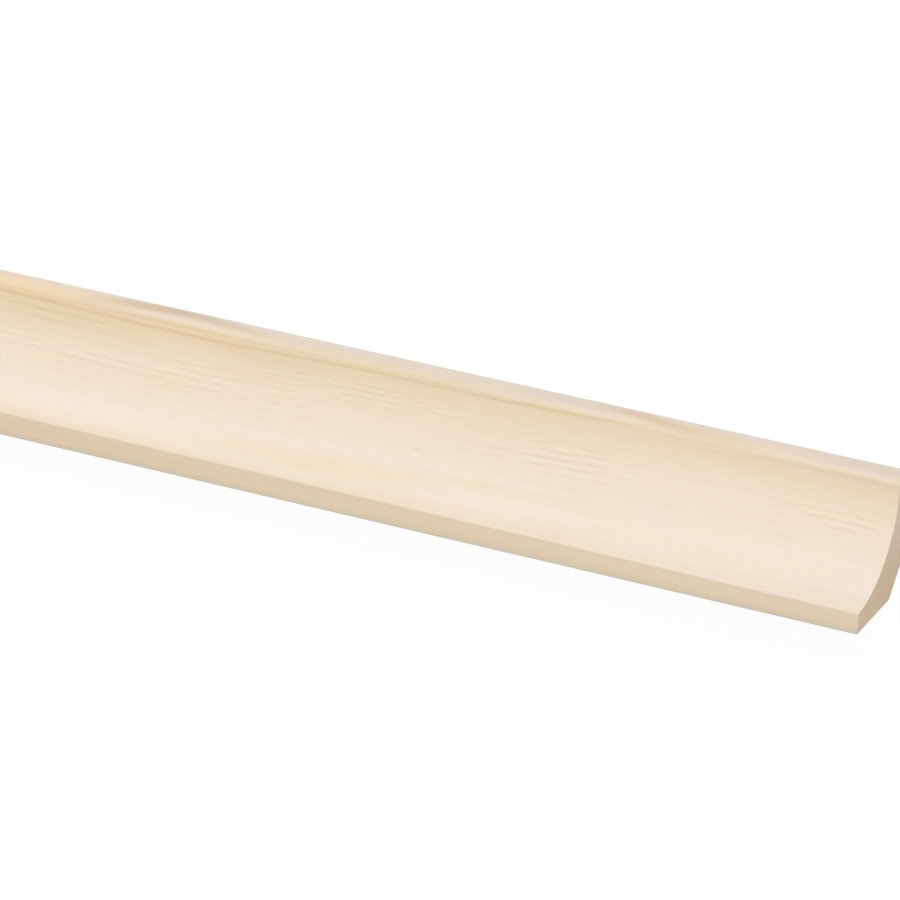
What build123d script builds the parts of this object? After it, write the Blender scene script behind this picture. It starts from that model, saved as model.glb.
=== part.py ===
from build123d import *
from math import cos, radians, sin, tan
import os

# A straight stick of sprung cove moulding, lying on its back with the hollow up.
# X runs along the stick, Y across it and Z up from the back.
# The origin is in the middle of the back.

# Driving dimensions, in millimetres and degrees
LENGTH = 2438.4        # one stock length, cut square at both ends
WIDTH = 41.3           # across the stick, between the two outer tips before they are eased
THICKNESS = 15.9       # from the back up to the arrises of the hollow before they are eased
SPRING_ANGLE = 45.0    # between the back and each bevel, so the bevels are square to each other
FLAT_WIDTH = 5.4       # the narrow flat on each side of the hollow
FLAT_LEAN = 12.5       # how far each flat leans inwards from square to its bevel
COVE_RADIUS = 25.4     # radius of the hollow
ARRIS_RADIUS = 0.3     # easing along every long edge

# Section, worked out from the driving dimensions
flat_slope = radians(90 - SPRING_ANGLE - FLAT_LEAN)
half_width = WIDTH / 2
half_mouth = half_width - FLAT_WIDTH * cos(flat_slope)
tip_height = THICKNESS - FLAT_WIDTH * sin(flat_slope)
half_back = half_width - tip_height / tan(radians(SPRING_ANGLE))

# The moulding: its section, drawn at mid length, and the run of the stick both ways from there
with BuildPart() as cove_moulding:
    with BuildSketch(Plane.YZ) as section:
        with BuildLine() as outline:
            back = Line((-half_back, 0), (half_back, 0))
            bevel = Line(back @ 1, (half_width, tip_height))
            flat = Line(bevel @ 1, (half_mouth, THICKNESS))
            mirror((bevel, flat), about=Plane.YZ)
            RadiusArc(flat @ 1, (-half_mouth, THICKNESS), COVE_RADIUS)
        make_face()
    extrude(amount=LENGTH / 2, both=True)
    long_edges = cove_moulding.edges().filter_by(Axis.X)
    fillet(long_edges, ARRIS_RADIUS)

# The finished piece
cove_moulding.part.label = "cove_moulding"
os.makedirs("parts", exist_ok=True)
export_step(cove_moulding.part, "parts/cove_moulding.step")
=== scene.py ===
"""A stick of pine cove moulding: planed on its long faces, sawn square at its ends, lying on its back."""

import math

import bmesh
import bpy
from bpy.props import FloatProperty, FloatVectorProperty, IntProperty, PointerProperty
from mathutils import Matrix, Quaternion, Vector, noise


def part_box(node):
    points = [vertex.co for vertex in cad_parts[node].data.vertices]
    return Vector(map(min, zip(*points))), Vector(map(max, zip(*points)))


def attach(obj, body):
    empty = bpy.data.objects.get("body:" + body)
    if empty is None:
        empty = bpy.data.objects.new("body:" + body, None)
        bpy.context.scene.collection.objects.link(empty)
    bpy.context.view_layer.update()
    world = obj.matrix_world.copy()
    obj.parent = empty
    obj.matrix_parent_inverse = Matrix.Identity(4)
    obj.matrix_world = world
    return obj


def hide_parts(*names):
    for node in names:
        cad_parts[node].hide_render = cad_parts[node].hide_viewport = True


bl_info = {
    "name": "Cove Moulding",
    "version": (1, 0, 0),
    "blender": (4, 5, 0),
    "location": "3D View > Sidebar > Moulding",
    "description": "Builds a stick of pine cove moulding and the stage that it lies on",
    "category": "Object",
}

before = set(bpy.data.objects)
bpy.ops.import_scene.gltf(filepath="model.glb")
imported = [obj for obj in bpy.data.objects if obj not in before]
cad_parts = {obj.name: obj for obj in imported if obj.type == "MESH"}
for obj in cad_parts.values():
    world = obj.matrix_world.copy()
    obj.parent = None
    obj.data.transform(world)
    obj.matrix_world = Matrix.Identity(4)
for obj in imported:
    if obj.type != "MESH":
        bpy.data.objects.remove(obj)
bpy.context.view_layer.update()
STICK_NODE = "cove_moulding"
STICK_LOW, STICK_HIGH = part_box(STICK_NODE)

# Millimetres to metres, and the other way for patterns that are drawn in millimetres
MM = 0.001
PER_MM = 1000.0

# How far the finished stick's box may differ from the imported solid's
BOX_SLACK = 0.2 * MM

# Distance under which two places on the mesh are the same, and how deep behind an end a face counts as sawn
SAME_PLACE = 0.001 * MM
SAWN_DEPTH = 0.01 * MM

# Share of the stick's length over which an edge counts as a long one
LONG_EDGE = 0.9

# Steps of the mesh
COVE_STEPS = 48
ARRIS_STEPS = 4
END_STEPS = 2

# Waves of the planed faces in each metre along, across and up the stick
WAVER_SCALE = (28.0, 90.0, 90.0)

# Sockets of the colour mix node, which has a set for each kind of value
MIX_FACTOR, MIX_A, MIX_B = 0, 6, 7
MIX_RESULT = 2

# Distance between nodes in the editor
NODE_STEP = 190

# Noise: its middle, the gain that brings it to about -1 to 1, and three levels of detail
NOISE_MIDDLE = 0.5
NOISE_GAIN = 4.0
SMOOTH, COMMON, FINE = 1.0, 2.0, 3.0

# The stray of the hollow across the stick: wave length and height in millimetres, and start in radians
HOLLOW_WAVE = (1200.0, 0.6, 3.545)

# Masks beside the arrises: where each starts and ends, in millimetres outwards from the middle of the arris
UPPER_FLAT_EDGE = (-0.2, 0.2)
UPPER_FLAT_GREY = (0.5, 3.7)
LOWER_FLAT_EDGE = (-0.25, 0.4)
LINES_END = (-0.1, 0.4)
# Half width of the painted shade either side of the front arris, in millimetres
PAINTED_RIM_SHADE_HALF = 2.6

# Broad tone by depth in the plank: depth in millimetres and colour. It is partly the wood's own tone and
# partly painted light: the wood is made whiter where the light falls most, in the lower half of the hollow,
# and yellower where less falls.
TONE_STOPS = (
    (-2.0, "edge_wood"),
    (6.6, "edge_wood"),
    (7.6, "pale_wood"),
    (11.5, "pale_wood"),
    (22.0, "mid_wood"),
    (36.0, "warm_wood"),
    (42.0, "warm_wood"),
)
TONE_STRAY = 0.5

# Growth rings lie in flat sheets, which rise this much across the stick for each unit of height
RING_LEAN = 1.5

# The wander of the rings along the stick: wave length and height in millimetres, and start in radians
RING_HOME = 37.88
RING_WAVES = (
    (300.0, 1.87, 2.42),
    (110.0, 0.25, -2.46),
    (78.0, 0.33, 0.42),
)

# Slow stray of the rings, on the stretch whose lines are listed and what the rest has more, in millimetres
RING_STRAY = 0.12
FURTHER_STRAY = 1.6
RING_STRAY_SCALE = (0.005, 0.0, 0.0)

# Quick wobble of the lines, in rings, and the share of it that strong lines take
RING_WOBBLE = 0.12
RING_WOBBLE_SCALE = (0.14, 0.2, 0.2)
STRONG_WOBBLE = 0.9

# Fine lines: where they lie between two whole ring numbers, their half width in rings, and their dashes
FINE_PHASE = 0.31
FINE_HALF = 0.3
SLOW_DASH_SCALE = (0.03, 0.6, 0.0)
QUICK_DASH_SCALE = (0.17, 5.3, 0.0)
QUICK_DASH_SHARE = 1.4
DASH_RANGE = (-0.8, 0.7)

# Late wood of a ring: where it starts to darken and where it ends, as shares of the ring, and its strength
LATE_START = 0.35
LATE_EDGE = 0.93
RING_STRENGTH_SCALE = (0.0, 0.73, 0.0)
RING_STRENGTH_RANGE = (-0.8, 0.8)
WEAKEST_RING = 0.4

# Where the stretch of wood whose lines are listed gives way to the rest, in millimetres from the near end
LAID_OUT_TO = -250.0
LAID_OUT_FADE = -310.0

# Where the strongest line leaves the hollow over its arris, in millimetres from the near end
LINE_LEAVES = (-80.0, -62.0)

# Stronger lines: ring number, half width in rings, strength, and for a short line its middle and half length
STRONG_RINGS = (
    (0.0, 0.48, 0.88, None),
    (0.1, 1.4, 0.1, None),
    (-1.62, 0.42, 0.85, (-226.0, 40.0)),
    (-3.18, 0.42, 0.85, (-226.0, 44.0)),
    (-1.72, 0.4, 0.35, (-50.0, 24.0)),
)

# Breaks along the lesser strong lines, and the uneven strength of all of them
BREAK_SCALE = (0.08, 0.3, 0.3)
BREAK_RANGE = (-0.6, 0.3)
BREAK_REST = 0.2
UNEVEN_SCALE = (0.035, 0.2, 0.2)
UNEVEN_RANGE = (-0.8, 0.4)
UNEVEN_REST = 0.7

# Where dashes are shorter, in millimetres from the near end, and by how much that stretch is drawn together
SHORT_DASHES = (-205.0, -115.0)
DRAWN_TOGETHER = 60.0

# Groups of fine lines: middle along the stick, half length, middle depth, half depth, strength
FINE_GROUPS = (
    (-224.0, 36.0, 21.0, 7.0, 0.7),
    (-180.0, 44.0, 21.5, 9.0, 0.7),
    (-140.0, 40.0, 30.0, 9.0, 0.75),
    (-90.0, 36.0, 22.5, 8.5, 0.95),
    (-10.0, 32.0, 22.5, 8.0, 0.95),
    (-120.0, 170.0, 3.0, 6.0, 0.22),
)

# Fine lines on the rest of the stick, and the faint share of them that is everywhere
ANYWHERE_SCALE = (0.011, 0.07, 0.07)
ANYWHERE_RANGE = (-0.1, 0.8)
ANYWHERE_REST = 0.1
ANYWHERE_STRENGTH = 0.9
EVERYWHERE = 0.08

# Patches of tone on the near end, a few of them painted highlights: middle along and across, half length and
# width, slope, and tint
TONE_PATCHES = (
    # Upper flat: peach at the left, then brown at its outer edge over a painted highlight, a pale bluish
    # sheen beside the arris
    ((-242.0, 18.2), (44.0, 4.0), 0.0, (1.095, 1.023, 0.90)),
    ((-201.0, 19.2), (23.0, 2.0), 0.07, (0.895, 0.79, 0.675)),
    ((-185.0, 19.1), (18.0, 1.8), -0.03, (0.89, 0.85, 0.80)),
    # Painted highlight: a pale bluish sheen beside the arris
    ((-190.0, 17.2), (34.0, 0.9), -0.01, (1.03, 1.05, 1.12)),
    ((-171.0, 18.2), (14.0, 1.6), 0.0, (0.97, 0.945, 0.90)),
    # Upper flat: a grey stretch, then a brown patch that slants down to the arris
    ((-88.0, 18.9), (18.0, 2.8), 0.0, (0.94, 0.96, 0.985)),
    ((-67.0, 19.0), (20.0, 1.9), -0.09, (0.92, 0.84, 0.745)),
    ((-49.0, 18.0), (20.0, 2.6), -0.04, (0.99, 0.95, 0.88)),
    # Painted highlight: a pale bluish sheen beside the arris
    ((-82.0, 17.3), (24.0, 1.1), 0.0, (1.045, 1.055, 1.13)),
    # Upper flat: near end, a painted highlight of pale bluish sheen beside the arris and a grey stretch
    # outside it
    ((-14.0, 17.0), (34.0, 1.3), 0.0, (1.03, 1.04, 1.12)),
    ((-6.0, 18.9), (30.0, 2.8), 0.0, (0.94, 0.94, 0.97)),
    # Upper half of the hollow: browner at the left and paler towards the near end
    ((-240.0, 12.5), (54.0, 7.0), 0.0, (0.97, 0.945, 0.905)),
    ((-190.0, 13.8), (66.0, 3.4), 0.0, (1.0, 0.965, 0.92)),
    ((-196.0, 15.7), (25.0, 0.6), 0.0, (0.955, 0.945, 0.945)),
    ((-166.0, 12.4), (26.0, 2.2), 0.0, (0.96, 0.96, 0.955)),
    ((-172.0, 8.3), (18.0, 2.2), 0.0, (0.98, 0.96, 0.93)),
    ((-116.0, 15.1), (15.0, 0.6), 0.0, (1.03, 1.05, 1.07)),
    ((-205.0, 1.0), (70.0, 4.5), 0.0, (1.0, 0.985, 0.95)),
    ((-45.0, 8.0), (62.0, 7.0), 0.0, (1.02, 1.03, 1.045)),
    ((-12.0, 15.3), (32.0, 1.1), 0.0, (0.945, 0.945, 0.95)),
    ((0.0, 13.4), (26.0, 2.4), 0.0, (0.985, 0.965, 0.965)),
    # Lower half of the hollow: a yellow band with a rosy one above it
    ((-128.0, -7.3), (74.0, 2.6), 0.05, (1.0, 0.985, 0.93)),
    ((-152.0, -10.4), (42.0, 4.5), 0.03, (0.99, 0.968, 0.915)),
    ((-124.0, -13.6), (26.0, 2.8), 0.0, (0.985, 0.97, 0.945)),
    ((-140.0, -4.2), (60.0, 1.8), 0.05, (1.005, 1.015, 1.05)),
    ((-96.0, -5.0), (40.0, 0.9), 0.04, (0.985, 0.98, 0.94)),
    ((-98.0, -3.5), (38.0, 0.9), 0.04, (1.0, 1.01, 1.04)),
    # Lower half of the hollow: pale stretches
    ((-214.0, -8.5), (54.0, 5.0), 0.0, (1.01, 1.025, 1.08)),
    ((-98.0, -9.2), (28.0, 4.0), 0.05, (1.0, 1.015, 1.055)),
    ((-25.0, -4.5), (46.0, 4.0), 0.0, (1.01, 1.015, 1.035)),
    ((-20.0, -13.0), (120.0, 4.6), 0.0, (0.97, 0.98, 0.995)),
    ((-2.0, -13.6), (20.0, 3.4), 0.0, (0.98, 0.973, 0.96)),
    # Hollow: single dark dashes
    ((-26.5, -0.9), (5.0, 0.5), 0.0, (0.96, 0.94, 0.90)),
    ((-195.0, -1.7), (5.5, 0.5), 0.0, (0.97, 0.955, 0.91)),
    ((-193.0, 1.4), (4.5, 0.5), 0.0, (0.96, 0.945, 0.90)),
    ((-195.0, 3.4), (8.0, 0.5), 0.0, (0.95, 0.93, 0.88)),
    # Lower flat: browner at the left, paler at the right
    ((-240.0, -18.6), (90.0, 4.0), 0.0, (0.975, 0.957, 0.92)),
    ((-40.0, -17.1), (110.0, 2.8), 0.0, (1.03, 1.04, 1.075)),
    # Lower tip, along the whole stick
    ((-1219.0, -20.3), (6000.0, 1.3), 0.0, (0.885, 0.93, 0.985)),
)

# Resin flecks on the hollow: place from the near end, half length and half width in millimetres
RESIN_FLECKS = (
    ((-123.1, 0.0), (1.3, 0.55)),
    ((-163.2, -3.5), (1.2, 0.28)),
)

# Fibres: scale of the streaks and of the slow changes of tone, and the shift that keeps the changes apart
COARSE_STREAK_SCALE = (0.03, 1.1, 1.1)
FINE_STREAK_SCALE = (0.09, 4.5, 4.5)
FINE_STREAK_SHARE = 0.6
BLOTCH_SCALE = (0.012, 0.09, 0.09)
WARMTH_SCALE = (0.06, 0.55, 0.55)
WARMTH_SHIFT = (500.0, 70.0, 30.0)
BLUSH_SCALE = (0.1, 0.6, 0.6)
BLUSH_SHIFT = (900.0, 20.0, 60.0)

# How much the fibres change the planed faces: light of the streaks, green of the blush, blue of the warmth
STREAK_LIGHT = 0.014
BLUSH_GREEN = -0.01
WARMTH_BLUE = -0.035

# Planed faces: gloss, and relief in metres
PLANED_SPECULAR = 0.25
PLANED_ROUGHNESS = 0.66
LINE_POLISH = -0.1
STREAK_RELIEF = 0.25
PLANED_RELIEF = 0.012 * MM

# Sawn ends: saw marks, pores, rings, where the shade ends across the stick, gloss, and relief in metres
MARK_SCALE = (0.0, 0.5, 6.0)
MARK_LIGHT = 0.015
PORE_SCALE = (0.0, 7.0, 7.0)
PORE_LIGHT = 0.03
PORE_RELIEF = 0.5
END_RINGS = 0.6
END_SHADE_RANGE = (-4.0, 13.0)
SAWN_SPECULAR = 0.15
SAWN_ROUGHNESS = 0.85
SAWN_RELIEF = 0.03 * MM

# Colours of the stage
WHITE = (1.0, 1.0, 1.0, 1.0)
MATT_WHITE = (0.8, 0.8, 0.8, 1.0)


class MouldingSizes(bpy.types.PropertyGroup):
    """Sizes of the stick: its run, its section and how its edges are eased."""

    length: FloatProperty(
        name="Length",
        description="Run of the stick between its square ends",
        default=STICK_HIGH.x - STICK_LOW.x,
        min=0.05,
        unit="LENGTH",
    )
    width: FloatProperty(
        name="Width",
        description="Across the stick between the outer tips, before they are eased",
        default=41.3 * MM,
        unit="LENGTH",
    )
    thickness: FloatProperty(
        name="Thickness",
        description="From the back to the arrises of the hollow, before they are eased",
        default=15.9 * MM,
        unit="LENGTH",
    )
    spring: FloatProperty(
        name="Spring Angle",
        description="Between the back and each bevel",
        default=math.radians(45.0),
        subtype="ANGLE",
    )
    flat_width: FloatProperty(
        name="Flat Width",
        description="Narrow flat on each side of the hollow",
        default=5.4 * MM,
        unit="LENGTH",
    )
    flat_lean: FloatProperty(
        name="Flat Lean",
        description="How far each flat leans inwards from square to its bevel",
        default=math.radians(12.5),
        subtype="ANGLE",
    )
    cove_radius: FloatProperty(
        name="Hollow Radius",
        description="Radius of the hollow",
        default=25.4 * MM,
        unit="LENGTH",
    )
    arris_radius: FloatProperty(
        name="Arris Radius",
        description="Easing along every long edge",
        default=0.3 * MM,
        unit="LENGTH",
    )
    end_ease: FloatProperty(
        name="End Ease",
        description="Easing left by the saw round each end",
        default=0.1 * MM,
        unit="LENGTH",
    )
    waver: FloatProperty(
        name="Waver",
        description="How far the planed faces and arrises stray from true",
        default=0.03 * MM,
        unit="LENGTH",
    )
    runs: IntProperty(
        name="Runs",
        description="Stretches that the long faces are divided into",
        default=480,
        min=1,
    )


class PineFinish(bpy.types.PropertyGroup):
    """Colours of the wood and the size of its growth rings."""

    edge_wood: FloatVectorProperty(
        name="Edge Wood",
        description="Tan wood of the lower flat and the back",
        default=(0.82, 0.665, 0.475),
        size=3,
        subtype="COLOR",
    )
    # Partly painted light: the lower half of the hollow, where the light falls most, is given whiter wood
    pale_wood: FloatVectorProperty(
        name="Pale Wood",
        description="Palest wood, in the lower half of the hollow",
        default=(0.845, 0.743, 0.615),
        size=3,
        subtype="COLOR",
    )
    mid_wood: FloatVectorProperty(
        name="Middle Wood",
        description="Wood in the upper half of the hollow",
        default=(0.895, 0.762, 0.60),
        size=3,
        subtype="COLOR",
    )
    warm_wood: FloatVectorProperty(
        name="Warm Wood",
        description="Yellowest wood, below the upper arris",
        default=(0.925, 0.765, 0.55),
        size=3,
        subtype="COLOR",
    )
    rosy_wood: FloatVectorProperty(
        name="Rosy Wood",
        description="Wood of the upper flat beside its arris",
        default=(0.783, 0.65, 0.486),
        size=3,
        subtype="COLOR",
    )
    grey_wood: FloatVectorProperty(
        name="Grey Wood",
        description="Wood of the upper flat at its outer edge",
        default=(0.732, 0.64, 0.548),
        size=3,
        subtype="COLOR",
    )
    # Painted shade: a darker tint either side of the front arris, so that the rounded edge does not catch a
    # pale line of light
    painted_rim_shade: FloatVectorProperty(
        name="Rim",
        description="Tint of the hollow beside its front arris, by which the wood is multiplied",
        default=(0.965, 0.945, 0.915),
        size=3,
        subtype="COLOR",
    )
    latewood: FloatVectorProperty(
        name="Latewood",
        description="Tint of a strong growth line, by which the wood is multiplied",
        default=(0.90, 0.855, 0.75),
        size=3,
        subtype="COLOR",
    )
    fine_dark: FloatVectorProperty(
        name="Fine Dark Line",
        description="Tint of a fine dark growth line, by which the wood is multiplied",
        default=(0.93, 0.905, 0.84),
        size=3,
        subtype="COLOR",
    )
    fine_pale: FloatVectorProperty(
        name="Fine Pale Line",
        description="Tint of the pale wood between fine lines, by which the wood is multiplied",
        default=(1.025, 1.045, 1.10),
        size=3,
        soft_max=2.0,
        subtype="COLOR",
    )
    end_wood: FloatVectorProperty(
        name="End Wood",
        description="Sawn end grain, at its palest",
        default=(0.81, 0.66, 0.504),
        size=3,
        subtype="COLOR",
    )
    end_shade: FloatVectorProperty(
        name="End Shade",
        description="Sawn end grain towards the lower tip",
        default=(0.744, 0.595, 0.428),
        size=3,
        subtype="COLOR",
    )
    fleck: FloatVectorProperty(
        name="Fleck",
        description="Tint of a resin fleck, by which the wood is multiplied",
        default=(0.90, 0.89, 0.87),
        size=3,
        subtype="COLOR",
    )
    ring_pitch: FloatProperty(
        name="Ring Pitch",
        description="Depth from one growth ring to the next",
        default=2.28 * MM,
        unit="LENGTH",
    )


class StudioStage(bpy.types.PropertyGroup):
    """Floor, light and camera."""

    floor_size: FloatProperty(
        name="Floor Size",
        description="Side of the square floor",
        default=120.0,
        unit="LENGTH",
    )
    floor_drop: FloatProperty(
        name="Floor Drop",
        description="Gap that keeps the floor clear of the flat back",
        default=0.1 * MM,
        unit="LENGTH",
    )
    floor_glow: FloatProperty(
        name="Floor Glow",
        description="Share of plain white in the floor as the eye sees it, which keeps the shadow faint",
        default=0.94,
        subtype="FACTOR",
    )
    sky: FloatProperty(
        name="Sky",
        description="Level of the even light from all round",
        default=0.72,
    )
    sun: FloatProperty(
        name="Sun",
        description="Strength of the soft light from above the upper flat",
        default=1.04,
    )
    sun_lean: FloatProperty(
        name="Sun Lean",
        description="How far that light leans from overhead towards the upper flat",
        default=math.radians(30.0),
        subtype="ANGLE",
    )
    sun_spread: FloatProperty(
        name="Sun Spread",
        description="How wide that light looks from the stick",
        default=math.radians(50.0),
        subtype="ANGLE",
    )
    lens: FloatProperty(
        name="Lens",
        description="Focal length in millimetres",
        default=254.82,
        unit="CAMERA",
    )
    aim: FloatVectorProperty(
        name="Aim",
        description="Point that the camera looks at, from the bottom of the near end",
        default=(-115.78 * MM, 2.13 * MM, 8.0 * MM),
        size=3,
        subtype="TRANSLATION",
        unit="LENGTH",
    )
    distance: FloatProperty(
        name="Distance",
        description="From that point to the camera",
        default=1530.6 * MM,
        unit="LENGTH",
    )
    azimuth: FloatProperty(
        name="Azimuth",
        description="Direction of the camera round the stick, from the way the near end faces",
        default=math.radians(-28.0),
        subtype="ANGLE",
    )
    elevation: FloatProperty(
        name="Elevation",
        description="Height of the camera above the floor, as an angle",
        default=math.radians(62.17),
        subtype="ANGLE",
    )
    roll: FloatProperty(
        name="Roll",
        description="Turn of the camera about its own line of sight",
        default=math.radians(-46.18),
        subtype="ANGLE",
    )


class Wiring:
    """Adds nodes to one tree. Each input is a value or another node's output."""

    def __init__(self, tree):
        self.tree = tree

    def feed(self, socket, source):
        """Joins a source to a socket, or sets the socket's own value."""
        if isinstance(source, bpy.types.NodeSocket):
            self.tree.links.new(source, socket)
        else:
            socket.default_value = source

    def add(self, kind, inputs=None, **settings):
        """Adds one node with its settings, and its inputs by name or place."""
        node = self.tree.nodes.new(kind)
        node.location.x = NODE_STEP * len(self.tree.nodes)
        for name, value in settings.items():
            setattr(node, name, value)
        for key, source in (inputs or {}).items():
            self.feed(node.inputs[key], source)
        return node

    def maths(self, operation, *sources, clamp=False):
        """One sum on numbers."""
        inputs = dict(enumerate(sources))
        node = self.add("ShaderNodeMath", inputs, operation=operation, use_clamp=clamp)
        return node.outputs[0]

    def total(self, sources):
        """All the sources added up."""
        so_far = sources[0]
        for source in sources[1:]:
            so_far = self.maths("ADD", so_far, source)
        return so_far

    def hump(self, value, middle, half):
        """1 where value is at the middle, falling smoothly to 0 at half to either side."""
        away = self.maths("SUBTRACT", value, middle)
        share = self.maths("DIVIDE", away, half)
        square = self.maths("MULTIPLY", share, share)
        rest = self.maths("SUBTRACT", 1.0, square, clamp=True)
        return self.maths("MULTIPLY", rest, rest)

    def wave(self, value, wave_length, height, start):
        """A sine wave along a value."""
        turned = self.maths("MULTIPLY_ADD", value, math.tau / wave_length, start)
        return self.maths("MULTIPLY", self.maths("SINE", turned), height)

    def mix(self, factor, first, second, blend="MIX"):
        """Two colours mixed."""
        inputs = {MIX_FACTOR: factor, MIX_A: first, MIX_B: second}
        node = self.add("ShaderNodeMix", inputs, data_type="RGBA", blend_type=blend)
        return node.outputs[MIX_RESULT]

    def scaled(self, place, scale):
        """A place with each axis scaled."""
        inputs = {0: place, 1: scale}
        return self.add("ShaderNodeVectorMath", inputs, operation="MULTIPLY").outputs[0]

    def shifted(self, place, by):
        """A place moved along each axis."""
        return self.add("ShaderNodeVectorMath", {0: place, 1: by}, operation="ADD").outputs[0]

    def cloud(self, place, scale, detail=COMMON):
        """Soft noise about 0, from roughly -1 to 1, at a scale for each axis."""
        inputs = {"Vector": self.scaled(place, scale), "Scale": 1.0, "Detail": detail}
        raw = self.add("ShaderNodeTexNoise", inputs).outputs["Fac"]
        centred = self.maths("SUBTRACT", raw, NOISE_MIDDLE)
        return self.maths("MULTIPLY", centred, NOISE_GAIN)

    def levels(self, value, low, high, from_low=0.0, from_high=1.0):
        """A value carried smoothly from one range to another."""
        inputs = {
            "Value": value,
            "From Min": from_low,
            "From Max": from_high,
            "To Min": low,
            "To Max": high,
        }
        node = self.add("ShaderNodeMapRange", inputs, interpolation_type="SMOOTHSTEP")
        return node.outputs["Result"]


def new_group(name, inputs, outputs):
    """An empty shader node group with these named sockets."""
    group = bpy.data.node_groups.new(name, "ShaderNodeTree")
    for label, kind in inputs.items():
        group.interface.new_socket(label, in_out="INPUT", socket_type=kind)
    for label, kind in outputs.items():
        group.interface.new_socket(label, in_out="OUTPUT", socket_type=kind)
    wires = Wiring(group)
    source = wires.add("NodeGroupInput").outputs
    result = wires.add("NodeGroupOutput").inputs
    return wires, source, result


def solid_colour(colour):
    """A colour property with the alpha that a colour socket needs."""
    return (*colour, 1.0)


def dashed_lines(wires, count, run, phase):
    """One line for each ring, each with its own strength and broken into dashes along the stick."""
    shifted = wires.maths("SUBTRACT", count, phase)
    ring = wires.maths("ROUND", shifted)
    line = wires.hump(wires.maths("SUBTRACT", shifted, ring), 0.0, FINE_HALF)
    place = wires.add("ShaderNodeCombineXYZ", {"X": run, "Y": ring}).outputs[0]
    slow = wires.cloud(place, SLOW_DASH_SCALE, SMOOTH)
    quick = wires.cloud(place, QUICK_DASH_SCALE)
    both = wires.maths("MULTIPLY_ADD", quick, QUICK_DASH_SHARE, slow)
    dashes = wires.levels(both, 0.0, 1.0, *DASH_RANGE)
    return wires.maths("MULTIPLY", line, dashes)


def whole_rings(wires, count):
    """Every ring cut across: each darkens towards its late edge, stops there, and has its own strength."""
    shifted = wires.maths("SUBTRACT", count, 1.0 - LATE_EDGE)
    share = wires.maths("FRACT", shifted)
    rising = wires.levels(share, 0.0, 1.0, LATE_START, LATE_EDGE)
    ending = wires.levels(share, 1.0, 0.0, LATE_EDGE, 1.0)
    number = wires.add("ShaderNodeCombineXYZ", {"Y": wires.maths("FLOOR", shifted)}).outputs[0]
    chance = wires.cloud(number, RING_STRENGTH_SCALE)
    strength = wires.levels(chance, WEAKEST_RING, 1.0, *RING_STRENGTH_RANGE)
    return wires.maths("MULTIPLY", wires.maths("MULTIPLY", rising, ending), strength)


def ring_lines_group(ring_pitch):
    """Growth rings cut by each face: strong lines, fine dark and pale lines, depth and whole rings."""
    outputs = ("Strong", "Dark", "Pale", "Depth", "Rings")
    wires, source, result = new_group(
        "ring_lines", {"Place": "NodeSocketVector"}, dict.fromkeys(outputs, "NodeSocketFloat")
    )
    place = source["Place"]
    axes = wires.add("ShaderNodeSeparateXYZ", {0: place}).outputs
    risen = wires.maths("MULTIPLY", axes["Z"], RING_LEAN)
    depth = wires.maths("ADD", axes["Y"], risen)
    further = wires.levels(axes["X"], 1.0, 0.0, LAID_OUT_FADE, LAID_OUT_TO)

    # How far along the ring count each place lies
    stray = wires.maths("MULTIPLY_ADD", further, FURTHER_STRAY, RING_STRAY)
    waves = [wires.maths("MULTIPLY", wires.cloud(place, RING_STRAY_SCALE), stray)]
    waves += [wires.wave(axes["X"], *ring_wave) for ring_wave in RING_WAVES]
    wander = wires.maths("ADD", wires.total(waves), RING_HOME)
    count = wires.maths("DIVIDE", wires.maths("SUBTRACT", depth, wander), ring_pitch * PER_MM)
    wobble = wires.maths("MULTIPLY", wires.cloud(place, RING_WOBBLE_SCALE, FINE), RING_WOBBLE)
    fine_count = wires.maths("ADD", wires.maths("SUBTRACT", count, FINE_PHASE), wobble)

    # Fine lines come in groups: some listed one by one, the others anywhere on the rest of the stick
    anywhere = wires.levels(wires.cloud(place, ANYWHERE_SCALE), ANYWHERE_REST, 1.0, *ANYWHERE_RANGE)
    elsewhere = wires.maths("MULTIPLY", anywhere, further)
    groups = [wires.maths("MULTIPLY_ADD", elsewhere, ANYWHERE_STRENGTH, EVERYWHERE)]
    for middle, half, deep, half_deep, strength in FINE_GROUPS:
        along = wires.hump(axes["X"], middle, half)
        shown = wires.maths("MULTIPLY", along, wires.hump(depth, deep, half_deep))
        groups.append(wires.maths("MULTIPLY", shown, strength))
    shown = wires.total(groups)
    drawn = wires.levels(axes["X"], 0.0, DRAWN_TOGETHER, *SHORT_DASHES)
    run = wires.maths("ADD", axes["X"], drawn)
    dark = dashed_lines(wires, fine_count, run, 0.0)
    pale = dashed_lines(wires, fine_count, run, 0.5)
    wires.feed(result["Dark"], wires.maths("MULTIPLY", dark, shown))
    wires.feed(result["Pale"], wires.maths("MULTIPLY", pale, shown))

    # Strong lines, the lesser ones broken along the stick
    broken = wires.levels(wires.cloud(place, BREAK_SCALE, FINE), BREAK_REST, 1.0, *BREAK_RANGE)
    swayed = wires.maths("MULTIPLY_ADD", wobble, STRONG_WOBBLE, count)
    hollowed = wires.levels(axes["X"], 1.0, 0.0, *LINE_LEAVES)
    strong = []
    for number, half, power, stretch in STRONG_RINGS:
        line = wires.maths("MULTIPLY", wires.hump(swayed, number, half), power)
        if stretch:
            line = wires.maths("MULTIPLY", line, wires.hump(axes["X"], *stretch))
        line = wires.maths("MULTIPLY", line, broken if stretch else hollowed)
        strong.append(line)
    uneven = wires.levels(wires.cloud(place, UNEVEN_SCALE), UNEVEN_REST, 1.0, *UNEVEN_RANGE)
    wires.feed(result["Strong"], wires.maths("MULTIPLY", wires.total(strong), uneven, clamp=True))
    wires.feed(result["Depth"], depth)
    wires.feed(result["Rings"], whole_rings(wires, fine_count))
    return wires.tree


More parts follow.
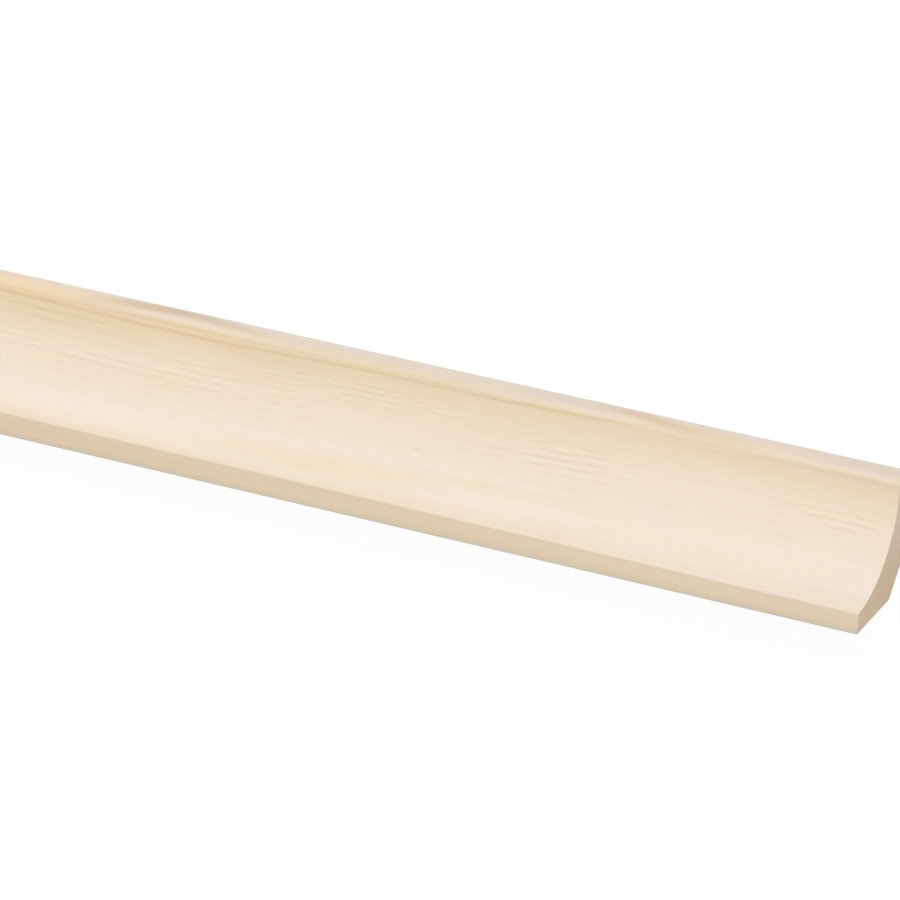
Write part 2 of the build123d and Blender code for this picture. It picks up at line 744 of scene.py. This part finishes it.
def wood_fibres_group():
    """Fine streaks along the stick, and slower changes of tone, warmth and blush, each about 0."""
    outputs = ("Streak", "Blotch", "Warmth", "Blush")
    wires, source, result = new_group(
        "wood_fibres", {"Place": "NodeSocketVector"}, dict.fromkeys(outputs, "NodeSocketFloat")
    )
    place = source["Place"]
    coarse = wires.cloud(place, COARSE_STREAK_SCALE, FINE)
    fine = wires.cloud(place, FINE_STREAK_SCALE)
    wires.feed(result["Streak"], wires.maths("MULTIPLY_ADD", fine, FINE_STREAK_SHARE, coarse))
    wires.feed(result["Blotch"], wires.cloud(place, BLOTCH_SCALE))
    wires.feed(result["Warmth"], wires.cloud(wires.shifted(place, WARMTH_SHIFT), WARMTH_SCALE, FINE))
    wires.feed(result["Blush"], wires.cloud(wires.shifted(place, BLUSH_SHIFT), BLUSH_SCALE, FINE))
    return wires.tree


def soft_patch_group():
    """A long soft patch at a place along and across the stick, 1 in its middle."""
    inputs = {
        "Place": "NodeSocketVector",
        "Along": "NodeSocketFloat",
        "Across": "NodeSocketFloat",
        "Half Length": "NodeSocketFloat",
        "Half Width": "NodeSocketFloat",
        "Slope": "NodeSocketFloat",
    }
    wires, source, result = new_group("soft_patch", inputs, {"Mask": "NodeSocketFloat"})
    axes = wires.add("ShaderNodeSeparateXYZ", {0: source["Place"]}).outputs
    run = wires.maths("SUBTRACT", axes["X"], source["Along"])
    rise = wires.maths("MULTIPLY_ADD", run, source["Slope"], source["Across"])
    along = wires.hump(run, 0.0, source["Half Length"])
    across = wires.hump(axes["Y"], rise, source["Half Width"])
    wires.feed(result["Mask"], wires.maths("MULTIPLY", along, across))
    return wires.tree


def patch_mask(wires, patches, place, middle, half, slope=0.0):
    """The mask of one soft patch."""
    inputs = {
        "Place": place,
        "Along": middle[0],
        "Across": middle[1],
        "Half Length": half[0],
        "Half Width": half[1],
        "Slope": slope,
    }
    return wires.add("ShaderNodeGroup", inputs, node_tree=patches).outputs["Mask"]


def place_from_near_end(wires, sizes):
    """Object coordinates in millimetres from the bottom middle of the near end."""
    place = wires.add("ShaderNodeTexCoord").outputs["Object"]
    near_end = (-sizes.length / 2 * PER_MM, 0.0, 0.0)
    inputs = {"Vector": place, "Location": near_end, "Scale": (PER_MM, PER_MM, PER_MM)}
    return wires.add("ShaderNodeMapping", inputs).outputs[0]


def new_surface(name):
    """An empty surface material, its wiring and its shader."""
    material = bpy.data.materials.new(name)
    material.use_nodes = True
    material.node_tree.nodes.clear()
    wires = Wiring(material.node_tree)
    shader = wires.add("ShaderNodeBsdfPrincipled")
    wires.add("ShaderNodeOutputMaterial", {"Surface": shader.outputs["BSDF"]})
    return material, wires, shader


def tone_ramp(wires, depth, stops):
    """A colour for each depth, smooth between the stops."""
    low, high = stops[0][0], stops[-1][0]
    inputs = {"Value": depth, "From Min": low, "From Max": high}
    share = wires.add("ShaderNodeMapRange", inputs).outputs["Result"]
    ramp = wires.add("ShaderNodeValToRGB", {"Fac": share})
    bands = ramp.color_ramp.elements
    bands.remove(bands[1])
    for index, (at, colour) in enumerate(stops):
        band = bands[0] if index == 0 else bands.new((at - low) / (high - low))
        band.position = (at - low) / (high - low)
        band.color = solid_colour(colour)
    return ramp.outputs["Color"]


def add_bump(wires, shader, height, depth):
    """Fine relief of a face, its full depth in metres."""
    inputs = {"Height": height, "Distance": depth, "Strength": 1.0}
    wires.feed(shader.inputs["Normal"], wires.add("ShaderNodeBump", inputs).outputs["Normal"])


def planed_pine(sizes, finish, rings, fibres, patches):
    """Long faces: planed, with growth lines, fibre streaks, patches of tone, painted highlights and shade by
    the arrises and a few resin flecks.
    """
    material, wires, shader = new_surface("planed_pine")
    place = place_from_near_end(wires, sizes)
    lines = wires.add("ShaderNodeGroup", {"Place": place}, node_tree=rings).outputs
    grain = wires.add("ShaderNodeGroup", {"Place": place}, node_tree=fibres).outputs
    axes = wires.add("ShaderNodeSeparateXYZ", {0: place}).outputs
    drift = wires.wave(axes["X"], *HOLLOW_WAVE)
    across = wires.maths("SUBTRACT", axes["Y"], drift)

    # Broad tone through the depth of the plank that the stick was cut from, partly painted light: whiter in
    # the lower hollow, where the light falls most
    depth = wires.maths("SUBTRACT", lines["Depth"], drift)
    stray = wires.maths("MULTIPLY_ADD", grain["Blotch"], TONE_STRAY, depth)
    stops = [(at, getattr(finish, name)) for at, name in TONE_STOPS]
    colour = tone_ramp(wires, stray, stops)

    # The rosy grey upper flat, painted shade either side of the front arris, and the tan lower flat, from
    # each arris outwards
    mouth = section_points(sizes)[1][0] * PER_MM
    past_upper = wires.maths("SUBTRACT", across, mouth)
    past_lower = wires.maths("SUBTRACT", -mouth, across)
    outer = wires.levels(wires.maths("SUBTRACT", axes["Y"], mouth), 0.0, 1.0, *UPPER_FLAT_GREY)
    flat = wires.mix(outer, solid_colour(finish.rosy_wood), solid_colour(finish.grey_wood))
    colour = wires.mix(wires.levels(past_upper, 0.0, 1.0, *UPPER_FLAT_EDGE), colour, flat)
    # Painted shade along the front arris, which dims the light that the rounded edge catches
    painted_rim_shade = wires.hump(past_lower, 0.0, PAINTED_RIM_SHADE_HALF)
    colour = wires.mix(painted_rim_shade, colour, solid_colour(finish.painted_rim_shade), "MULTIPLY")
    front = wires.levels(past_lower, 0.0, 1.0, *LOWER_FLAT_EDGE)
    colour = wires.mix(front, colour, solid_colour(finish.edge_wood))

    # Growth lines
    below = wires.levels(past_upper, 1.0, 0.0, *LINES_END)
    strong = wires.maths("MULTIPLY", lines["Strong"], below)
    colour = wires.mix(strong, colour, solid_colour(finish.latewood), "MULTIPLY")
    colour = wires.mix(lines["Dark"], colour, solid_colour(finish.fine_dark), "MULTIPLY")
    colour = wires.mix(lines["Pale"], colour, solid_colour(finish.fine_pale), "MULTIPLY")

    # Fibres and slow changes of warmth
    streak = wires.maths("MULTIPLY_ADD", grain["Streak"], STREAK_LIGHT, 1.0)
    green = wires.maths("MULTIPLY_ADD", grain["Blush"], BLUSH_GREEN, streak)
    blue = wires.maths("MULTIPLY_ADD", grain["Warmth"], WARMTH_BLUE, streak)
    shade = wires.add("ShaderNodeCombineColor", {0: streak, 1: green, 2: blue}).outputs[0]
    colour = wires.mix(1.0, colour, shade, "MULTIPLY")

    # Patches of tone, a few of them painted highlights, and resin flecks
    for middle, half, slope, tint in TONE_PATCHES:
        mask = patch_mask(wires, patches, place, middle, half, slope)
        colour = wires.mix(mask, colour, solid_colour(tint), "MULTIPLY")
    for middle, half in RESIN_FLECKS:
        mask = patch_mask(wires, patches, place, middle, half)
        colour = wires.mix(mask, colour, solid_colour(finish.fleck), "MULTIPLY")
    wires.feed(shader.inputs["Base Color"], colour)

    # Sheen and relief
    shader.inputs["Specular IOR Level"].default_value = PLANED_SPECULAR
    rough = wires.maths("MULTIPLY_ADD", strong, LINE_POLISH, PLANED_ROUGHNESS)
    wires.feed(shader.inputs["Roughness"], rough)
    relief = wires.total([strong, lines["Dark"], wires.maths("MULTIPLY", grain["Streak"], STREAK_RELIEF)])
    add_bump(wires, shader, relief, PLANED_RELIEF)
    return material


def sawn_end(sizes, finish, rings, fibres):
    """Square ends: end grain under fine saw marks, darker towards the lower tip."""
    material, wires, shader = new_surface("sawn_end_grain")
    place = place_from_near_end(wires, sizes)
    lines = wires.add("ShaderNodeGroup", {"Place": place}, node_tree=rings).outputs
    grain = wires.add("ShaderNodeGroup", {"Place": place}, node_tree=fibres).outputs
    across = wires.add("ShaderNodeSeparateXYZ", {0: place}).outputs["Y"]
    marks = wires.cloud(place, MARK_SCALE, FINE)
    pores = wires.cloud(place, PORE_SCALE)
    upper = wires.levels(wires.maths("ADD", across, grain["Blotch"]), 0.0, 1.0, *END_SHADE_RANGE)
    colour = wires.mix(upper, solid_colour(finish.end_shade), solid_colour(finish.end_wood))
    ring = wires.maths("MULTIPLY_ADD", lines["Rings"], END_RINGS, lines["Strong"], clamp=True)
    colour = wires.mix(ring, colour, solid_colour(finish.latewood), "MULTIPLY")
    marked = wires.maths("MULTIPLY_ADD", marks, MARK_LIGHT, 1.0)
    level = wires.maths("MULTIPLY_ADD", pores, PORE_LIGHT, marked)
    grey = wires.add("ShaderNodeCombineColor", {0: level, 1: level, 2: level}).outputs[0]
    colour = wires.mix(1.0, colour, grey, "MULTIPLY")
    wires.feed(shader.inputs["Base Color"], colour)
    shader.inputs["Specular IOR Level"].default_value = SAWN_SPECULAR
    shader.inputs["Roughness"].default_value = SAWN_ROUGHNESS
    relief = wires.maths("MULTIPLY_ADD", pores, PORE_RELIEF, marks)
    add_bump(wires, shader, relief, SAWN_RELIEF)
    return material


def section_points(sizes):
    """Corners of the section as (Y, Z): front and rear arris of the hollow, then round by the back."""
    flat_slope = math.pi / 2 - sizes.spring - sizes.flat_lean
    half_width = sizes.width / 2
    half_mouth = half_width - sizes.flat_width * math.cos(flat_slope)
    tip_height = sizes.thickness - sizes.flat_width * math.sin(flat_slope)
    half_back = half_width - tip_height / math.tan(sizes.spring)
    arrises = ((-half_mouth, sizes.thickness), (half_mouth, sizes.thickness))
    rear = ((half_width, tip_height), (half_back, 0.0))
    front = ((-half_back, 0.0), (-half_width, tip_height))
    return arrises + rear + front


def draw_section(bm, sizes, points):
    """The closed section at the far end: the hollow spun as an arc, the rest from corner to corner."""
    far = -sizes.length / 2
    half_mouth = points[1][0]
    rise = math.sqrt(sizes.cove_radius ** 2 - half_mouth ** 2)
    centre = (far, 0.0, sizes.thickness + rise)
    sweep = 2 * math.asin(half_mouth / sizes.cove_radius)
    first = bm.verts.new((far, *points[0]))
    arc = bmesh.ops.spin(bm, geom=[first], cent=centre, axis=(1, 0, 0), angle=sweep, steps=COVE_STEPS)
    last = arc["geom_last"][0]
    for point in points[2:]:
        grown = bmesh.ops.extrude_vert_indiv(bm, verts=[last])
        last = grown["verts"][0]
        last.co = (far, *point)
    bmesh.ops.contextual_create(bm, geom=[last, first])
    return bmesh.ops.contextual_create(bm, geom=bm.edges[:])["faces"][0]


def corner_angle(before, corner, after):
    """Angle inside a corner of the section."""
    return (Vector(before) - Vector(corner)).angle(Vector(after) - Vector(corner))


def ease_long_edges(bm, sizes, points):
    """Rounds the six long edges. An edge is set back by what its radius takes off each face."""
    hollow_slope = math.asin(points[1][0] / sizes.cove_radius)
    inward = (points[1][0] - math.cos(hollow_slope), points[1][1] - math.sin(hollow_slope))
    tip = corner_angle(points[1], points[2], points[3])
    back = corner_angle(points[2], points[3], points[4])
    arris = corner_angle(inward, points[1], points[2])
    for angle, corners in ((arris, points[:2]), (tip, (points[2], points[5])), (back, points[3:5])):
        edges = [
            edge
            for edge in bm.edges
            if any(
                max(abs(vert.co.y - y) + abs(vert.co.z - z) for vert in edge.verts) < SAME_PLACE
                for y, z in corners
            )
        ]
        bmesh.ops.bevel(
            bm,
            geom=edges,
            offset=sizes.arris_radius / math.tan(angle / 2),
            offset_type="OFFSET",
            affect="EDGES",
            segments=ARRIS_STEPS,
            profile=0.5,
            material=-1,
        )


def run_of(edge):
    """How far an edge runs along the stick."""
    return abs(edge.verts[0].co.x - edge.verts[1].co.x)


def ease_ends(bm, sizes):
    """Takes the sharpness off the edge round each sawn end."""
    rims = [edge for edge in bm.edges if run_of(edge) < sizes.end_ease]
    bmesh.ops.bevel(
        bm,
        geom=rims,
        offset=sizes.end_ease,
        offset_type="OFFSET",
        affect="EDGES",
        segments=END_STEPS,
        profile=0.5,
        material=-1,
    )


def drift_hollow(bm, sizes, points):
    """Lets the hollow and its arrises stray from side to side, so that the flats vary in width."""
    wave_length, height, start = HOLLOW_WAVE
    reach = points[1][0] + 2 * sizes.arris_radius
    for vert in bm.verts:
        if abs(vert.co.y) < reach and vert.co.z > sizes.thickness / 2:
            along = (vert.co.x - sizes.length / 2) * PER_MM
            vert.co.y += height * MM * math.sin(math.tau * along / wave_length + start)


def stray_from_true(bm, sizes):
    """Moves the planed faces in and out by a hair, as knives and sandpaper leave them."""
    bm.normal_update()
    shifts = []
    for vert in bm.verts:
        at = vert.co * Vector(WAVER_SCALE)
        shifts.append(vert.normal * (noise.noise(at) * sizes.waver))
    for vert, shift in zip(bm.verts, shifts):
        vert.co.y += shift.y
        vert.co.z += shift.z


def build_stick(sizes):
    """The mesh of the whole stick."""
    points = section_points(sizes)
    bm = bmesh.new()
    face = draw_section(bm, sizes, points)
    grown = bmesh.ops.extrude_face_region(bm, geom=[face])
    moved = [item for item in grown["geom"] if isinstance(item, bmesh.types.BMVert)]
    bmesh.ops.translate(bm, verts=moved, vec=(sizes.length, 0.0, 0.0))
    ease_long_edges(bm, sizes, points)
    ease_ends(bm, sizes)
    long_edges = [edge for edge in bm.edges if run_of(edge) > LONG_EDGE * sizes.length]
    bmesh.ops.subdivide_edges(bm, edges=long_edges, cuts=sizes.runs - 1, use_grid_fill=True)
    bmesh.ops.recalc_face_normals(bm, faces=bm.faces[:])
    drift_hollow(bm, sizes, points)
    stray_from_true(bm, sizes)
    for face in bm.faces:
        sawn = abs(face.calc_center_median().x) > sizes.length / 2 - SAWN_DEPTH
        face.material_index = int(sawn)
        face.smooth = not sawn
    mesh = bpy.data.meshes.new("pine_cove_moulding")
    bm.to_mesh(mesh)
    bm.free()
    return mesh


def check_box(stick):
    """Stops the build if the stick isn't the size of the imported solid."""
    for axis in range(3):
        along = [vert.co[axis] for vert in stick.data.vertices]
        miss = max(abs(min(along) - STICK_LOW[axis]), abs(max(along) - STICK_HIGH[axis]))
        if miss > BOX_SLACK:
            raise RuntimeError(f"the stick misses the solid's box by {miss / MM:.2f} mm on axis {axis}")


class COVE_OT_moulding(bpy.types.Operator):
    """Model the stick and give it its planed and sawn faces"""

    bl_idname = "cove.moulding"
    bl_label = "Build Moulding"
    bl_options = {"REGISTER", "UNDO"}

    def execute(self, context):
        sizes = context.scene.moulding_sizes
        finish = context.scene.pine_finish
        mesh = build_stick(sizes)
        rings = ring_lines_group(finish.ring_pitch)
        fibres = wood_fibres_group()
        patches = soft_patch_group()
        mesh.materials.append(planed_pine(sizes, finish, rings, fibres, patches))
        mesh.materials.append(sawn_end(sizes, finish, rings, fibres))
        stick = bpy.data.objects.new("pine_cove_moulding", mesh)
        context.scene.collection.objects.link(stick)
        normals = stick.modifiers.new("even_normals", "WEIGHTED_NORMAL")
        normals.keep_sharp = True
        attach(stick, "root")
        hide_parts(STICK_NODE)
        check_box(stick)
        return {"FINISHED"}


def lit_world(stage):
    """Even light all round, and white wherever the camera or a reflection sees past the floor."""
    world = bpy.data.worlds.new("studio_sky")
    world.use_nodes = True
    world.node_tree.nodes.clear()
    wires = Wiring(world.node_tree)
    seen = seen_directly(wires)
    light = wires.add("ShaderNodeBackground", {"Color": WHITE, "Strength": stage.sky})
    white = wires.add("ShaderNodeBackground", {"Color": WHITE, "Strength": 1.0})
    mixed = wires.add("ShaderNodeMixShader", {0: seen, 1: light.outputs[0], 2: white.outputs[0]})
    wires.add("ShaderNodeOutputWorld", {"Surface": mixed.outputs[0]})
    return world


def seen_directly(wires):
    """1 for a ray from the camera, or one by which a shiny or clear surface shows what is round it."""
    rays = wires.add("ShaderNodeLightPath").outputs
    shiny = wires.maths("MAXIMUM", rays["Is Glossy Ray"], rays["Is Transmission Ray"])
    return wires.maths("MAXIMUM", rays["Is Camera Ray"], shiny)


def white_floor_material(stage):
    """White to the eye with a faint shadow, and a plain matt white to the light."""
    material = bpy.data.materials.new("white_floor")
    material.use_nodes = True
    material.node_tree.nodes.clear()
    wires = Wiring(material.node_tree)
    seen = seen_directly(wires)
    matt = wires.add("ShaderNodeBsdfDiffuse", {"Color": MATT_WHITE})
    shaded = wires.add("ShaderNodeBsdfDiffuse", {"Color": WHITE})
    white = wires.add("ShaderNodeEmission", {"Color": WHITE, "Strength": 1.0})
    blend = {0: stage.floor_glow, 1: shaded.outputs[0], 2: white.outputs[0]}
    shown = wires.add("ShaderNodeMixShader", blend)
    mixed = wires.add("ShaderNodeMixShader", {0: seen, 1: matt.outputs[0], 2: shown.outputs[0]})
    wires.add("ShaderNodeOutputMaterial", {"Surface": mixed.outputs[0]})
    return material


def lay_floor(context, stage):
    """The floor, just under the flat back."""
    bm = bmesh.new()
    bmesh.ops.create_grid(bm, x_segments=1, y_segments=1, size=stage.floor_size / 2)
    bmesh.ops.translate(bm, verts=bm.verts[:], vec=(0.0, 0.0, -stage.floor_drop))
    mesh = bpy.data.meshes.new("studio_floor")
    bm.to_mesh(mesh)
    bm.free()
    mesh.materials.append(white_floor_material(stage))
    floor = bpy.data.objects.new("studio_floor", mesh)
    context.scene.collection.objects.link(floor)


def hang_light(context, stage):
    """One wide, soft light that leans towards the upper flat."""
    light = bpy.data.lights.new("soft_sun", "SUN")
    light.energy = stage.sun
    light.angle = stage.sun_spread
    lamp = bpy.data.objects.new("soft_sun", light)
    lamp.rotation_euler = (-stage.sun_lean, 0.0, 0.0)
    lamp.visible_camera = False
    context.scene.collection.objects.link(lamp)


def set_camera(context, sizes, stage):
    """The camera, looking down on the near end, turned so that the stick runs down to the right."""
    data = bpy.data.cameras.new("photo_camera")
    data.lens = stage.lens
    camera = bpy.data.objects.new("photo_camera", data)
    level = math.cos(stage.elevation)
    out = (level * math.cos(stage.azimuth), level * math.sin(stage.azimuth), math.sin(stage.elevation))
    back = Vector(out)
    aim = Vector((sizes.length / 2, 0.0, 0.0)) + Vector(stage.aim)
    camera.location = aim + back * stage.distance
    camera.rotation_mode = "QUATERNION"
    upright = (-back).to_track_quat("-Z", "Y")
    camera.rotation_quaternion = upright @ Quaternion((0.0, 0.0, 1.0), stage.roll)
    context.scene.collection.objects.link(camera)
    context.scene.camera = camera


class COVE_OT_stage(bpy.types.Operator):
    """Lay the floor, hang the light and set the camera"""

    bl_idname = "cove.stage"
    bl_label = "Build Stage"
    bl_options = {"REGISTER", "UNDO"}

    def execute(self, context):
        stage = context.scene.studio_stage
        lay_floor(context, stage)
        hang_light(context, stage)
        context.scene.world = lit_world(stage)
        set_camera(context, context.scene.moulding_sizes, stage)
        context.scene.view_settings.view_transform = "Standard"
        return {"FINISHED"}


class COVE_PT_moulding(bpy.types.Panel):
    """Sizes, colours and build buttons of the moulding"""

    bl_idname = "COVE_PT_moulding"
    bl_label = "Cove Moulding"
    bl_space_type = "VIEW_3D"
    bl_region_type = "UI"
    bl_category = "Moulding"

    def draw(self, context):
        for group, operator in GROUPS_AND_OPERATORS:
            box = self.layout.box()
            settings = getattr(context.scene, group)
            for name in settings.__annotations__:
                box.prop(settings, name)
            if operator:
                box.operator(operator)


GROUPS_AND_OPERATORS = (
    ("moulding_sizes", None),
    ("pine_finish", COVE_OT_moulding.bl_idname),
    ("studio_stage", COVE_OT_stage.bl_idname),
)
SETTINGS = {
    "moulding_sizes": MouldingSizes,
    "pine_finish": PineFinish,
    "studio_stage": StudioStage,
}
CLASSES = (*SETTINGS.values(), COVE_OT_moulding, COVE_OT_stage, COVE_PT_moulding)


def register():
    """Registers the classes and hangs the settings on the scene."""
    for kind in CLASSES:
        bpy.utils.register_class(kind)
    for name, kind in SETTINGS.items():
        setattr(bpy.types.Scene, name, PointerProperty(type=kind))


def unregister():
    """Takes the settings and the classes away again."""
    for name in SETTINGS:
        delattr(bpy.types.Scene, name)
    for kind in reversed(CLASSES):
        bpy.utils.unregister_class(kind)


def main():
    """Builds the stick and its stage."""
    register()
    bpy.ops.cove.moulding()
    bpy.ops.cove.stage()


if __name__ == "__main__":
    main()
